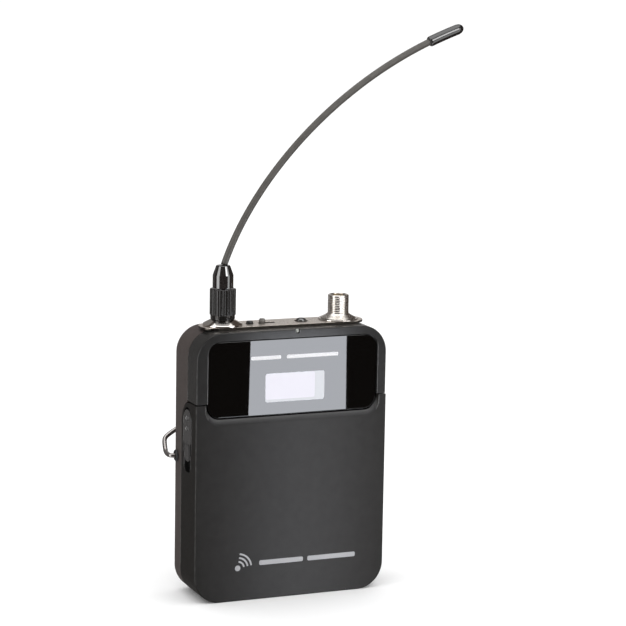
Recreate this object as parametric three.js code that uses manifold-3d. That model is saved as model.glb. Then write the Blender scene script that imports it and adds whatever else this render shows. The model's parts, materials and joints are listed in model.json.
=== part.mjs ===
// Wireless bodypack transmitter: a flat belt-worn case with a whip antenna, a threaded
// microphone jack, a hinged battery cover with side latches and a wire belt clip.
// Millimetres. +Z is up, the display faces -Y, +X is to the right of the display.
// The origin is the centre of the bottom face.
import * as THREE from "three";
import { mergeVertices } from "three/addons/utils/BufferGeometryUtils.js";
import Module from "manifold-3d";

const wasm = await Module();
wasm.setup();

// ---------------------------------------------------------------- driving dimensions
const CASE_W = 66.8; // width of the rear shell and the front housing
const CASE_H = 89.9; // height of the case without the top plate
const FRONT_Y = -10.85; // front face of the housing
const BACK_Y = 11; // rear face of the case
const WALL = 1.6;
const CORNER_R = 9; // corners seen from the front
const UPPER_PART_Y = -2; // joint between front housing and rear shell
const LOWER_PART_Y = 3; // joint between battery cover and rear shell
const GAP = 0.15; // half of a visible joint line

const COVER_PROUD = 0.25; // the cover stands this much outside the case sides
const COVER_FRONT_Y = -11;
const COVER_TOP_Z = 66.4;
const SHOULDER_R = 7.8; // rounded top rear corner of the cover's sides

const WINDOW = { x0: -29.6, x1: 30.4, zLow: 61.6, zHigh: 87.2, r: 4.4, frontY: -10.0, thick: 0.8 };
const DISPLAY = { x0: -9.3, x1: 11.6, z0: 66.0, z1: 75.6 };

const PLATE_TOP_Z = 90.7;
const PLATE_HALF_W = 28.6;
const PLATE_HALF_D = 5.6;
const ANTENNA_X = -20.7;
const JACK_X = 20.4;

const HINGE_Y = 3.2; // cover hinge axis, along X
const HINGE_Z = 2.3;
const BARREL_R = 1.9;
const COVER_KNUCKLES = [-9.5, 9.5];
const SHELL_KNUCKLES = [-19, 0, 19];
const KNUCKLE_L = 9.2;

const CELL_R = 7.25; // two AA cells
const CELL_L = 50.5;
const CELL_X = [-21.8, -6.3];
const CELL_Y = -1.5;

const POWER_X = -11.2; // two buttons, a switch and an indicator along the top
const SWITCH_X = -6.8;
const SWITCH_SLOT = [-8.2, -2.4];
const FUNCTION_X = 7.1;
const INDICATOR = { x: 1.5, y: -10.3, z: 89.4 }; // centre of its domed end

const LATCH_Y = -3; // centre of the side latch
const CLIP_Y = 8; // belt clip axis, along X
const CLIP_Z = 46.2;
const WIRE_R = 0.72;

const BUTTONS = [
  { name: "set_button", z: 49 },
  { name: "up_button", z: 39 },
  { name: "down_button", z: 29 },
];
const BUTTON_X = 16;

// ---------------------------------------------------------------- materials
const PAINT = {
  case_plastic: [0x2e2e30, 0, 0.6],
  cover_plastic: [0x29292b, 0, 0.65],
  black_plastic: [0x151516, 0, 0.5],
  window_gloss: [0x08080a, 0, 0.08],
  display_glass: [0xdfe2ee, 0, 0.2],
  plate_metal: [0xb9b2a6, 1, 0.35],
  chrome: [0xd2d2d2, 1, 0.15],
  steel: [0xa9aaac, 1, 0.3],
  whip_rubber: [0x35302c, 0, 0.75],
  tip_gloss: [0x0c0c0d, 0, 0.15],
  lens_plastic: [0xc9cfc4, 0, 0.2],
  contact_metal: [0xc8c3b4, 1, 0.3],
  gold: [0xcaa55a, 1, 0.3],
  board_green: [0x1c4a33, 0, 0.5],
  cell_wrap: [0x4a5560, 0, 0.35],
  button_rubber: [0x77797d, 0, 0.7],
};

// ---------------------------------------------------------------- solid helpers
function toManifold(geometry) {
  const bare = new THREE.BufferGeometry();
  bare.setAttribute("position", geometry.getAttribute("position").clone());
  if (geometry.index) bare.setIndex(geometry.index.clone());
  const merged = mergeVertices(bare, 1e-4);
  const mesh = new wasm.Mesh({
    numProp: 3,
    vertProperties: new Float32Array(merged.getAttribute("position").array),
    triVerts: new Uint32Array(merged.index.array),
  });
  mesh.merge();
  return new wasm.Manifold(mesh);
}

function toGeometry(solid) {
  const mesh = solid.getMesh();
  const geometry = new THREE.BufferGeometry();
  geometry.setAttribute("position", new THREE.BufferAttribute(new Float32Array(mesh.vertProperties), 3));
  geometry.setIndex(new THREE.BufferAttribute(new Uint32Array(mesh.triVerts), 1));
  return geometry;
}

const union = (...parts) => parts.reduce((a, b) => a.add(b));
const cut = (base, ...tools) => tools.reduce((a, b) => a.subtract(b), base);

function box(x0, x1, y0, y1, z0, z1) {
  const g = new THREE.BoxGeometry(x1 - x0, y1 - y0, z1 - z0);
  g.translate((x0 + x1) / 2, (y0 + y1) / 2, (z0 + z1) / 2);
  return toManifold(g);
}

// cylinder of radius r along X, Y or Z, from a to b, its axis through the other two coordinates
function cylinder(axis, r, a, b, c1, c2, segments = 24) {
  const g = new THREE.CylinderGeometry(r, r, b - a, segments);
  if (axis === "x") {
    g.rotateZ(Math.PI / 2);
    g.translate((a + b) / 2, c1, c2);
  } else if (axis === "y") {
    g.translate(c1, (a + b) / 2, c2);
  } else {
    g.rotateX(Math.PI / 2);
    g.translate(c1, c2, (a + b) / 2);
  }
  return toManifold(g);
}

function ball(r, { x, y, z }, segments = 14) {
  const g = new THREE.SphereGeometry(r, segments, segments / 2 + 1);
  g.translate(x, y, z);
  return toManifold(g);
}

// solid of revolution about a vertical axis; profile points are [radius, z] and run upwards
function turned(profile, x, y, segments = 32) {
  const points = profile.map(([r, z]) => new THREE.Vector2(r, z));
  const g = new THREE.LatheGeometry(points, segments);
  g.rotateX(Math.PI / 2);
  g.translate(x, y, 0);
  return toManifold(g);
}

// the same about an axis along Y; profile points are [radius, y]
function turnedAlongY(profile, x, z, segments = 24) {
  const points = profile.map(([r, y]) => new THREE.Vector2(r, y));
  const g = new THREE.LatheGeometry(points, segments);
  g.translate(x, 0, z);
  return toManifold(g);
}

// the same about an axis along X, the profile running outwards; side is -1 (left) or 1 (right)
function turnedAlongX(profile, side, y, z, segments = 24) {
  const points = profile.map(([r, x]) => new THREE.Vector2(r, x));
  const g = new THREE.LatheGeometry(points, segments);
  g.rotateZ(side > 0 ? -Math.PI / 2 : Math.PI / 2);
  g.translate(0, y, z);
  return toManifold(g);
}

// closed skin over a row of rings that all have the same number of points
function loft(rings) {
  const n = rings[0].length;
  const positions = rings.flat().flatMap((p) => [p.x, p.y, p.z]);
  const index = [];
  for (let k = 0; k + 1 < rings.length; k++) {
    for (let i = 0; i < n; i++) {
      const a = k * n + i;
      const b = k * n + ((i + 1) % n);
      index.push(a, b, b + n, a, b + n, a + n);
    }
  }
  const last = (rings.length - 1) * n;
  for (let i = 1; i + 1 < n; i++) {
    index.push(0, i + 1, i);
    index.push(last, last + i, last + i + 1);
  }
  const g = new THREE.BufferGeometry();
  g.setAttribute("position", new THREE.Float32BufferAttribute(positions, 3));
  g.setIndex(index);
  const solid = toManifold(g);
  if (solid.volume() > 0) return solid;
  g.setIndex(index.reverse());
  return toManifold(g);
}

// rounded rectangle in the XZ plane at depth y
function outline(x0, x1, z0, z1, r, y, perCorner = 7) {
  const corners = [
    [x1 - r, z0 + r, -Math.PI / 2],
    [x1 - r, z1 - r, 0],
    [x0 + r, z1 - r, Math.PI / 2],
    [x0 + r, z0 + r, Math.PI],
  ];
  return corners.flatMap(([cx, cz, start]) =>
    Array.from({ length: perCorner }, (_, i) => {
      const t = start + (i / (perCorner - 1)) * (Math.PI / 2);
      return new THREE.Vector3(cx + r * Math.cos(t), y, cz + r * Math.sin(t));
    }),
  );
}

// case-shaped block from y0 to y1 with its front and rear edges rolled by the two radii
function caseBlock(width, z0, z1, r, y0, y1, frontRoll, rearRoll) {
  const steps = 3;
  const half = width / 2;
  const ring = (inset, y) => outline(-half + inset, half - inset, z0 + inset, z1 - inset, r - inset, y);
  const rings = [];
  for (let i = 0; frontRoll > 0 && i < steps; i++) {
    const t = (i / steps) * (Math.PI / 2);
    rings.push(ring(frontRoll * (1 - Math.sin(t)), y0 + frontRoll * (1 - Math.cos(t))));
  }
  rings.push(ring(0, y0 + frontRoll));
  rings.push(ring(0, y1 - rearRoll));
  for (let i = steps - 1; rearRoll > 0 && i >= 0; i--) {
    const t = (i / steps) * (Math.PI / 2);
    rings.push(ring(rearRoll * (1 - Math.sin(t)), y1 - rearRoll * (1 - Math.cos(t))));
  }
  return loft(rings);
}

const slab = (x0, x1, z0, z1, r, y0, y1, perCorner = 5) =>
  loft([outline(x0, x1, z0, z1, r, y0, perCorner), outline(x0, x1, z0, z1, r, y1, perCorner)]);

// flat shape given in (y, z), extruded along X
function extrudeAlongX(shape, x0, x1, curveSegments = 6) {
  const g = new THREE.ExtrudeGeometry(shape, { depth: x1 - x0, bevelEnabled: false, curveSegments });
  g.applyMatrix4(new THREE.Matrix4().set(0, 0, 1, x0, 1, 0, 0, 0, 0, 1, 0, 0, 0, 0, 0, 1));
  return toManifold(g);
}

// flat shape given in (x, y), extruded upwards
function extrudeUp(shape, z0, z1, curveSegments = 8) {
  const g = new THREE.ExtrudeGeometry(shape, { depth: z1 - z0, bevelEnabled: false, curveSegments });
  g.translate(0, 0, z0);
  return toManifold(g);
}

// round bar of radius r along a row of points; radius may be a function of the position 0..1
function bar(points, radius, sides = 8) {
  const rings = [];
  const first = points[1].clone().sub(points[0]).normalize();
  let normal = new THREE.Vector3(0, 1, 0);
  if (Math.abs(first.y) > 0.9) normal = new THREE.Vector3(0, 0, 1);
  points.forEach((p, k) => {
    const before = points[Math.max(k - 1, 0)];
    const after = points[Math.min(k + 1, points.length - 1)];
    const along = after.clone().sub(before).normalize();
    normal.addScaledVector(along, -normal.dot(along)).normalize();
    const side = along.clone().cross(normal);
    const r = typeof radius === "function" ? radius(k / (points.length - 1)) : radius;
    rings.push(
      Array.from({ length: sides }, (_, i) => {
        const t = (i / sides) * 2 * Math.PI;
        return p.clone().addScaledVector(normal, r * Math.cos(t)).addScaledVector(side, r * Math.sin(t));
      }),
    );
  });
  return loft(rings);
}

// points along straight runs joined by curved bends of the given radius
function bentPath(corners, bend, perBend = 4) {
  const out = [corners[0].clone()];
  for (let k = 1; k + 1 < corners.length; k++) {
    const inDir = corners[k - 1].clone().sub(corners[k]);
    const outDir = corners[k + 1].clone().sub(corners[k]);
    const reach = Math.min(bend, inDir.length() / 2, outDir.length() / 2);
    const a = corners[k].clone().addScaledVector(inDir.normalize(), reach);
    const b = corners[k].clone().addScaledVector(outDir.normalize(), reach);
    const curve = new THREE.QuadraticBezierCurve3(a, corners[k], b);
    out.push(...curve.getPoints(perBend));
  }
  out.push(corners[corners.length - 1].clone());
  return out.filter((p, i) => i === 0 || p.distanceTo(out[i - 1]) > 0.02);
}

const v = (x, y, z) => new THREE.Vector3(x, y, z);

// ---------------------------------------------------------------- shared case tools
// side view of the space that belongs to the battery cover, grown by `grow`
function coverSideShape(grow) {
  const top = COVER_TOP_Z + grow;
  const rear = LOWER_PART_Y - GAP + grow;
  const r = SHOULDER_R;
  const shape = new THREE.Shape();
  shape.moveTo(-14, -2);
  shape.lineTo(rear, -2);
  shape.lineTo(rear, top - r);
  shape.absarc(rear - r, top - r, r, 0, Math.PI / 2, false);
  shape.lineTo(-14, top);
  shape.closePath();
  return shape;
}

const coverSpace = (grow) => extrudeAlongX(coverSideShape(grow), -40, 40, 8);
const caseCavity = () =>
  caseBlock(CASE_W - 2 * WALL, WALL, CASE_H - WALL, CORNER_R - WALL, -14, BACK_Y - WALL, 0, 0);
const hingeBarrel = (x, r = BARREL_R) =>
  cylinder("x", r, x - KNUCKLE_L / 2, x + KNUCKLE_L / 2, HINGE_Y, HINGE_Z, 20);
const hingeBore = () => cylinder("x", 0.8, -35, 35, HINGE_Y, HINGE_Z, 12);

// ---------------------------------------------------------------- case
function rearShell() {
  const outer = caseBlock(CASE_W, 0, CASE_H, CORNER_R, UPPER_PART_Y + GAP, BACK_Y, 0, 2.2);
  let shell = cut(outer, caseCavity(), coverSpace(2 * GAP));
  // groove in which the cover's rear edge swings, then the shell's own hinge knuckles
  shell = cut(shell, cylinder("x", 3.3, -31.3, 31.3, HINGE_Y, HINGE_Z, 24));
  for (const x of SHELL_KNUCKLES) {
    const web = box(x - KNUCKLE_L / 2, x + KNUCKLE_L / 2, HINGE_Y, HINGE_Y + 4.2, 0.4, 1.9);
    shell = shell.add(union(hingeBarrel(x), web));
  }
  shell = cut(shell, hingeBore());
  // shallow panel for a rating plate on the rear face
  shell = cut(shell, slab(-24, 24, 14, 34, 2, BACK_Y - 0.3, 12, 6));
  // ribs at the mouth of the upper half locate the front housing
  for (const side of [-1, 1]) {
    const x = side * (CASE_W / 2 - WALL - 0.4);
    shell = shell.add(box(x - 0.6, x + 0.6, 4.2, 9.6, 68, 84));
  }
  // threaded seats for the four case screws and the holes of the clip and the top parts
  for (const [x, z] of SCREWS) {
    shell = cut(shell, cylinder("y", 2.1, 10.2, 12, x, z, 20), cylinder("y", 1.15, 9, 12, x, z, 16));
  }
  for (const side of [-1, 1]) {
    const hole = cylinder("x", 0.95, 31 - (side < 0 ? 66 : 0), 35 - (side < 0 ? 66 : 0), CLIP_Y, CLIP_Z, 16);
    shell = cut(shell, hole);
  }
  return cut(shell, ...topHoles());
}

const SCREWS = [
  [-26.5, 82],
  [26.5, 82],
  [-26.5, 9.5],
  [26.5, 9.5],
];

function topHoles() {
  return [
    cylinder("z", 4.3, 88, 92, ANTENNA_X, 0, 28),
    cylinder("z", 3.9, 88, 92, JACK_X, 0, 28),
    cylinder("z", 1.4, 88, 92, POWER_X, 0, 20),
    box(...SWITCH_SLOT, -1.1, 1.1, 88, 92),
    cylinder("z", 2.3, 88, 92, FUNCTION_X, 0, 24),
  ];
}

function frontHousing() {
  const top = COVER_TOP_Z + 2 * GAP;
  const outer = caseBlock(CASE_W, 0, CASE_H, CORNER_R, FRONT_Y, UPPER_PART_Y - GAP, 0.5, 0);
  const cavity = caseBlock(CASE_W - 2 * WALL, WALL, CASE_H - WALL, CORNER_R - WALL, FRONT_Y + 2.8, 0, 0, 0);
  let housing = cut(outer, cavity, box(-40, 40, -14, 14, -2, top));
  // tongue that carries the lower part of the window behind the cover's notch
  const seatY = WINDOW.frontY + WINDOW.thick + 0.05;
  const { x0, x1, zLow, zHigh, r } = WINDOW;
  housing = housing.add(slab(x0 + 0.6, x1 - 0.6, zLow, top + 8, 4, seatY, seatY + 1.1));
  housing = cut(housing, slab(x0, x1, zLow, zHigh, r, -14, seatY, 8));
  // opening behind the window for the display module
  const d = DISPLAY;
  housing = cut(housing, slab(d.x0 - 1.2, d.x1 + 1.2, d.z0 - 1.2, d.z1 + 1.2, 0.8, -12, 0));
  // seat of the indicator lens in the top front edge
  const stemHole = cylinder("y", 0.6, INDICATOR.y, -6.5, INDICATOR.x, INDICATOR.z - 0.4, 14);
  housing = cut(housing, ball(1, INDICATOR), stemHole);
  return cut(housing, ...topHoles());
}

function windowPanel() {
  const { x0, x1, zLow, zHigh, r, frontY, thick } = WINDOW;
  const g = 0.2;
  const d = DISPLAY;
  const panel = slab(x0 + g, x1 - g, zLow + g, zHigh - 1.5 * g, r - g, frontY, frontY + thick, 8);
  return cut(panel, slab(d.x0, d.x1, d.z0, d.z1, 0.8, -12, -8));
}

function displayModule() {
  const g = 0.1;
  const d = DISPLAY;
  const face = slab(d.x0 + g, d.x1 - g, d.z0 + g, d.z1 - g, 0.7, WINDOW.frontY + 0.06, -8.6);
  const block = slab(d.x0 - 0.9, d.x1 + 0.9, d.z0 - 0.9, d.z1 + 0.9, 0.6, -9.05, -5.4);
  return face.add(block);
}

function topPlate() {
  const shape = new THREE.Shape();
  const r = PLATE_HALF_D - 0.6;
  shape.moveTo(-PLATE_HALF_W + r, -PLATE_HALF_D);
  shape.lineTo(PLATE_HALF_W - r, -PLATE_HALF_D);
  shape.absarc(PLATE_HALF_W - r, -PLATE_HALF_D + r, r, -Math.PI / 2, 0, false);
  shape.lineTo(PLATE_HALF_W, PLATE_HALF_D - r);
  shape.absarc(PLATE_HALF_W - r, PLATE_HALF_D - r, r, 0, Math.PI / 2, false);
  shape.lineTo(-PLATE_HALF_W + r, PLATE_HALF_D);
  shape.absarc(-PLATE_HALF_W + r, PLATE_HALF_D - r, r, Math.PI / 2, Math.PI, false);
  shape.lineTo(-PLATE_HALF_W, -PLATE_HALF_D + r);
  shape.absarc(-PLATE_HALF_W + r, -PLATE_HALF_D + r, r, Math.PI, 1.5 * Math.PI, false);
  const plate = extrudeUp(shape, CASE_H + 0.05, PLATE_TOP_Z);
  return cut(plate, ...topHoles());
}

// light pipe: a small ball in the front edge with a stem towards the board
const indicatorLens = () =>
  union(ball(0.75, INDICATOR), cylinder("y", 0.5, INDICATOR.y, -7.2, INDICATOR.x, INDICATOR.z - 0.4, 14));

// button on the top plate: a cap in the plate's hole and a flange that stays under it
const powerButton = () =>
  turned([[0, 87.2], [2, 87.2], [2, 88], [1.15, 88], [1.15, 91.3], [0.85, 91.6], [0, 91.6]], POWER_X, 0, 20);

// round domed button in a wider hole
const functionButton = () =>
  turned(
    [[0, 87.2], [2.9, 87.2], [2.9, 88], [1.75, 88], [1.75, 91], [1.5, 91.4], [0.8, 91.7], [0, 91.75]],
    FUNCTION_X, 0, 20,
  );

// slide switch near the left end of its slot: knob, neck and a shoe under the top wall
function slideSwitch() {
  const x = SWITCH_X;
  const knob = turned([[0, 90.9], [1.05, 90.9], [1.05, 91.7], [0.8, 92.15], [0, 92.3]], x, 0, 16);
  const neck = box(x - 0.7, x + 0.7, -0.7, 0.7, 88, 91.2);
  const shoe = box(x - 1.9, x + 1.9, -1.9, 1.9, 87, 88.2);
  return union(knob, neck, shoe);
}

// ---------------------------------------------------------------- antenna
const antennaCollar = () =>
  cut(
    turned(
      [[0, 90.75], [6.5, 90.75], [6.5, 91.2], [6.3, 91.4], [4.2, 92.5], [4, 92.65], [0, 92.65]],
      ANTENNA_X, 0, 28,
    ),
    cylinder("z", 2.5, 90, 96, ANTENNA_X, 0, 24),
  );

const antennaSocket = () =>
  turned([[0, 85.4], [3.9, 85.4], [3.9, 88.2], [2.4, 88.4], [2.4, 96.7], [2.1, 97], [0, 97]], ANTENNA_X, 0, 20);

function antennaNut() {
  const ribs = 24;
  const ribbed = new THREE.Shape();
  for (let i = 0; i < ribs * 2; i++) {
    const t = (i / (ribs * 2)) * 2 * Math.PI;
    const r = i % 2 ? 4.05 : 4.3;
    const at = [ANTENNA_X + r * Math.cos(t), r * Math.sin(t)];
    if (i === 0) ribbed.moveTo(...at);
    else ribbed.lineTo(...at);
  }
  ribbed.closePath();
  const grip = extrudeUp(ribbed, 94.2, 102.7);
  const body = turned(
    [
      [0, 92.75], [3.85, 92.75], [4.05, 92.95], [4.05, 94], [3.85, 94.2],
      [3.85, 102.6], [3.6, 102.9], [0, 102.9],
    ],
    ANTENNA_X, 0, 24,
  );
  const bore = cylinder("z", 2.7, 92, 98.4, ANTENNA_X, 0, 20);
  const neckHole = cylinder("z", 2.1, 98, 105, ANTENNA_X, 0, 20);
  return cut(grip.add(body), bore, neckHole);
}

const antennaSleeve = () =>
  turned(
    [[0, 97.3], [1.8, 97.3], [1.8, 103.1], [3.4, 103.1], [3.4, 107.1], [2.3, 110.3], [2, 110.5], [0, 110.5]],
    ANTENNA_X, 0, 24,
  );

const whipCurve = new THREE.CubicBezierCurve3(
  v(-20.6, 0, 110.0),
  v(-11.1, 0, 137.7),
  v(19.0, 0, 171.9),
  v(63.9, 0, 187.2),
);

// stretch of the whip's centre line between two positions from 0 to 1
const curveRun = (from, to, steps) =>
  Array.from({ length: steps + 1 }, (_, i) => whipCurve.getPoint(from + ((to - from) * i) / steps));
const WHIP_END = 0.898;

function antennaWhip() {
  return bar(curveRun(0.012, WHIP_END, 26), 1.1, 8);
}

function antennaTip() {
  // blunt towards the whip, round at the far end
  const rounded = (t) => 1.72 * (t < 0.8 ? 1 : Math.sqrt(Math.max(1 - Math.pow((t - 0.8) / 0.2, 2.2), 0.15)));
  return bar(curveRun(WHIP_END + 0.002, 1, 15), rounded, 12);
}

// ---------------------------------------------------------------- microphone jack
const jackFlange = () =>
  cut(
    turned([[0, 90.75], [6.6, 90.75], [6.6, 91], [6.4, 91.15], [0, 91.15]], JACK_X, 0, 28),
    cylinder("z", 3.7, 90, 96, JACK_X, 0, 28),
  );

function jackBarrel() {
  const profile = [[0, 85.8], [3.5, 85.8], [3.5, 91.25], [5.9, 91.25], [5.8, 91.45], [3.8, 92.65], [3.3, 92.9]];
  for (let k = 0; k < 7; k++) {
    const z = 93 + 0.8 * k;
    profile.push([3.3, z], [3.5, z + 0.25], [3.5, z + 0.45], [3.3, z + 0.7]);
  }
  profile.push([3.4, 98.7], [3.4, 98.8], [3.2, 99], [0, 99]);
  return cut(turned(profile, JACK_X, 0, 20), cylinder("z", 2.55, 89.6, 101, JACK_X, 0, 20));
}

const jackInsert = () =>
  cut(
    cylinder("z", 2.45, 89.7, 96, JACK_X, 0, 20),
    ...jackPinPlaces().map(([x, y]) => cylinder("z", 0.42, 89, 98, x, y, 10)),
  );

const jackPinPlaces = () =>
  [0, 1, 2, 3].map((k) => {
    const t = Math.PI / 4 + (k * Math.PI) / 2;
    return [JACK_X + 1.4 * Math.cos(t), 1.4 * Math.sin(t)];
  });

const jackPin = ([x, y]) => turned([[0, 90], [0.35, 90], [0.35, 98], [0.15, 98.4], [0, 98.4]], x, y, 8);

// ---------------------------------------------------------------- battery cover and latches
function batteryCover() {
  const width = CASE_W + 2 * COVER_PROUD;
  const outer = caseBlock(width, 0, CASE_H, CORNER_R, COVER_FRONT_Y, 8, 0.55, 0);
  const inside = COVER_FRONT_Y + WALL;
  const cavity = caseBlock(CASE_W - 2 * WALL, WALL, CASE_H - WALL, CORNER_R - WALL, inside, 14, 0, 0);
  let cover = cut(outer, cavity).intersect(coverSpace(0));
  // notch around the window, its lower rim leaning back
  const notch = (grow, z, r, y) => outline(WINDOW.x0 - grow, WINDOW.x1 + grow, z, 80, r, y, 8);
  const recess = COVER_FRONT_Y + 0.95;
  cover = cut(
    cover,
    loft([notch(0.25, 61.3, 4.7, recess - 0.02), notch(0.25, 61.3, 4.7, 0)]),
    loft([notch(0.7, 58.75, 5.6, COVER_FRONT_Y - 0.1), notch(0.25, 61.3, 4.7, recess)]),
  );
  // open slot along the hinge, then the cover's knuckles
  cover = cut(cover, box(-26, 26, 0.9, 5, -1, 3));
  for (const x of COVER_KNUCKLES) {
    const web = box(x - KNUCKLE_L / 2, x + KNUCKLE_L / 2, -0.5, HINGE_Y, 0.4, 1.9);
    cover = cover.add(union(hingeBarrel(x), web));
  }
  cover = cut(cover, hingeBore());
  for (const side of [-1, 1]) cover = cut(cover, latchPocket(side));
  return cover;
}

// outline in (y, z) of the latch: a wide thumb pad over a narrower tongue with a rounded end
function latchShape(grow, drop) {
  const yc = LATCH_Y;
  const wide = 3.5 + grow;
  const narrow = 2.6 + grow;
  const step = 52.6 - drop - grow;
  const crown = 60.4 + grow;
  const end = 46.7 - drop - grow;
  const round = 2;
  const shape = new THREE.Shape();
  shape.moveTo(yc - narrow + round, end);
  shape.lineTo(yc + narrow - round, end);
  shape.absarc(yc + narrow - round, end + round, round, -Math.PI / 2, 0, false);
  shape.lineTo(yc + narrow, step);
  shape.lineTo(yc + wide, step + 0.6);
  shape.lineTo(yc + wide, crown);
  shape.absarc(yc, crown, wide, 0, Math.PI, false);
  shape.lineTo(yc - wide, step + 0.6);
  shape.lineTo(yc - narrow, step);
  shape.lineTo(yc - narrow, end + round);
  shape.absarc(yc - narrow + round, end + round, round, Math.PI, 1.5 * Math.PI, false);
  shape.closePath();
  return shape;
}

function mirrorX(solid, side) {
  return side > 0 ? solid : solid.mirror([1, 0, 0]);
}

// pocket in the cover's side, long enough for the latch to travel down, with a slot to the inside
function latchPocket(side) {
  const skin = CASE_W / 2 + COVER_PROUD;
  const pocket = extrudeAlongX(latchShape(0.2, 3.3), skin - 0.95, skin + 1, 6);
  const slot = box(skin - 4, skin, LATCH_Y - 1.2, LATCH_Y + 1.2, 50.0, 59.4);
  return mirrorX(union(pocket, slot), side);
}

function latch(side) {
  const skin = CASE_W / 2 + COVER_PROUD;
  let slider = extrudeAlongX(latchShape(0, 0), skin - 0.8, skin + 0.1, 6);
  // two grip studs on the pad and a raised tongue
  slider = slider.add(box(skin - 0.2, skin + 0.35, LATCH_Y - 1.9, LATCH_Y + 1.9, 47.8, 52.2));
  for (const z of [57.7, 61.2]) {
    const dome = ball(1.5, { x: skin - 0.85, y: LATCH_Y, z });
    slider = slider.add(dome.intersect(box(skin - 0.4, skin + 2, -8, 2, 50, 66)));
  }
  const stem = box(skin - 2.7, skin - 0.5, LATCH_Y - 0.9, LATCH_Y + 0.9, 53.4, 58.9);
  const hook = box(skin - 2.7, skin - 1.95, LATCH_Y - 0.9, LATCH_Y + 2.6, 53.4, 58.9);
  return mirrorX(union(slider, stem, hook), side);
}

// catch on the chassis that the latch's hook slides past
const catchLug = (side) => mirrorX(box(29.4, 31.1, 0.2, 2.6, 53.4, 58.9), side);

// ---------------------------------------------------------------- battery compartment
const TRAY = { halfW: 30.2, z0: 4.9, z1: 60.6, back: 8.8 };

function batteryTray() {
  const split = 2.4;
  const cells = slab(-TRAY.halfW, split, TRAY.z0, TRAY.z1, 3, -3, TRAY.back);
  let tray = cells.add(slab(split - 1, TRAY.halfW, TRAY.z0, TRAY.z1, 3, -7.2, TRAY.back));
  for (const x of CELL_X) {
    tray = cut(
      tray,
      cylinder("z", 7.55, 6.2, 59.2, x, CELL_Y, 32),
      box(x - 7.55, x + 7.55, -12, CELL_Y, 6.2, 59.2),
    );
  }
  // hollow behind the control panel, open to the rear
  tray = cut(tray, slab(split + 1.6, TRAY.halfW - 1.6, TRAY.z0 + 1.6, TRAY.z1 - 1.6, 2, -5.6, 12));
  for (const b of BUTTONS) tray = cut(tray, cylinder("y", 2.8, -9, -4, BUTTON_X, b.z, 24));
  return union(tray, catchLug(-1), catchLug(1));
}

function controlButton(z) {
  return turnedAlongY(
    [
      [0, -8.4], [2.1, -8.4], [2.5, -8.1], [2.5, -5.3], [3.4, -5.3],
      [3.4, -4.5], [0.8, -4.5], [0.8, -3.9], [0, -3.9],
    ],
    BUTTON_X, z, 20,
  );
}

// cell standing on its flat end (up = true) or hanging with its button end down
function cell(x, up) {
  const z0 = up ? 8.2 : 7.0;
  const at = (h) => (up ? z0 + h : z0 + CELL_L - h);
  const profile = [[0, 0], [CELL_R - 0.5, 0], [CELL_R, 0.5]];
  profile.push([CELL_R, CELL_L - 1.7], [CELL_R - 0.6, CELL_L - 1.1]);
  profile.push([2.7, CELL_L - 1.1], [2.6, CELL_L], [0, CELL_L]);
  const rows = profile.map(([r, h]) => [r, at(h)]);
  return turned(up ? rows : rows.reverse(), x, CELL_Y, 28);
}

// conical contact spring at the flat end of a cell
function contactSpring(x, zWall, direction) {
  const turns = 2.5;
  const points = Array.from({ length: 26 }, (_, i) => {
    const s = i / 25;
    const t = s * turns * 2 * Math.PI;
    const r = 4.6 - 2.2 * s;
    return v(x + r * Math.cos(t), CELL_Y + r * Math.sin(t), zWall + direction * (0.42 + 0.85 * s));
  });
  return bar(points, 0.3, 6);
}

const contactPlate = (x, z0, z1) => box(x - 4.5, x + 4.5, CELL_Y - 4, CELL_Y + 4, z0, z1);

// ---------------------------------------------------------------- electronics
const mainBoard = () => slab(-27.5, 27.5, 62.4, 84.4, 1, 1.2, 2.4);
const rfShield = () => slab(-25, -3, 64, 82, 0.8, 2.5, 5.4);
const controlBoard = () => slab(5, 27.6, 18, 57.6, 1, -3.3, -2.1);
const hingePin = () => cylinder("x", 0.6, -24.6, 24.6, HINGE_Y, HINGE_Z, 12);

function caseScrew([x, z]) {
  const profile = [[0, 9.1], [1.0, 9.1], [1.0, 10.25], [1.95, 10.25], [1.95, 10.7], [1.6, 10.9], [0, 10.9]];
  const acrossSlot = box(x - 1.2, x + 1.2, 10.5, 12, z - 0.22, z + 0.22);
  const uprightSlot = box(x - 0.22, x + 0.22, 10.5, 12, z - 1.2, z + 1.2);
  return cut(turnedAlongY(profile, x, z, 18), acrossSlot, uprightSlot);
}

// ---------------------------------------------------------------- belt clip
const clipBoss = (side) =>
  cut(
    turnedAlongX([[0, 33.43], [2.0, 33.43], [2.0, 33.75], [1.7, 34], [0, 34]], side, CLIP_Y, CLIP_Z, 20),
    cylinder("x", 0.95, side > 0 ? 33 : -36, side > 0 ? 36 : -33, CLIP_Y, CLIP_Z, 16),
  );

function beltClipWire() {
  const left = [
    v(-31.0, CLIP_Y, CLIP_Z),
    v(-35.7, CLIP_Y, CLIP_Z),
    v(-35.5, 12.9, 46.2),
    v(-34.6, 17.4, 50.3),
    v(-29.0, 18.2, 53.4),
    v(-12.5, 18.4, 56.0),
    v(-9.5, 18.0, 50.0),
    v(-8.6, 17.0, 17.0),
    v(-8.2, 12.8, 10.5),
    v(-7.2, 14.2, 5.5),
  ];
  const right = left.map((p) => v(-p.x, p.y, p.z)).reverse();
  return bar(bentPath([...left, ...right], 1.8, 3), WIRE_R, 8);
}

// ---------------------------------------------------------------- assembly
const part = new THREE.Group();
part.name = "bodypack_transmitter";

function place(name, solid, paint) {
  const [color, metalness, roughness] = PAINT[paint];
  const material = new THREE.MeshStandardMaterial({ color, metalness, roughness });
  material.name = paint;
  const mesh = new THREE.Mesh(toGeometry(solid), material);
  mesh.name = name;
  part.add(mesh);
}

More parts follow.
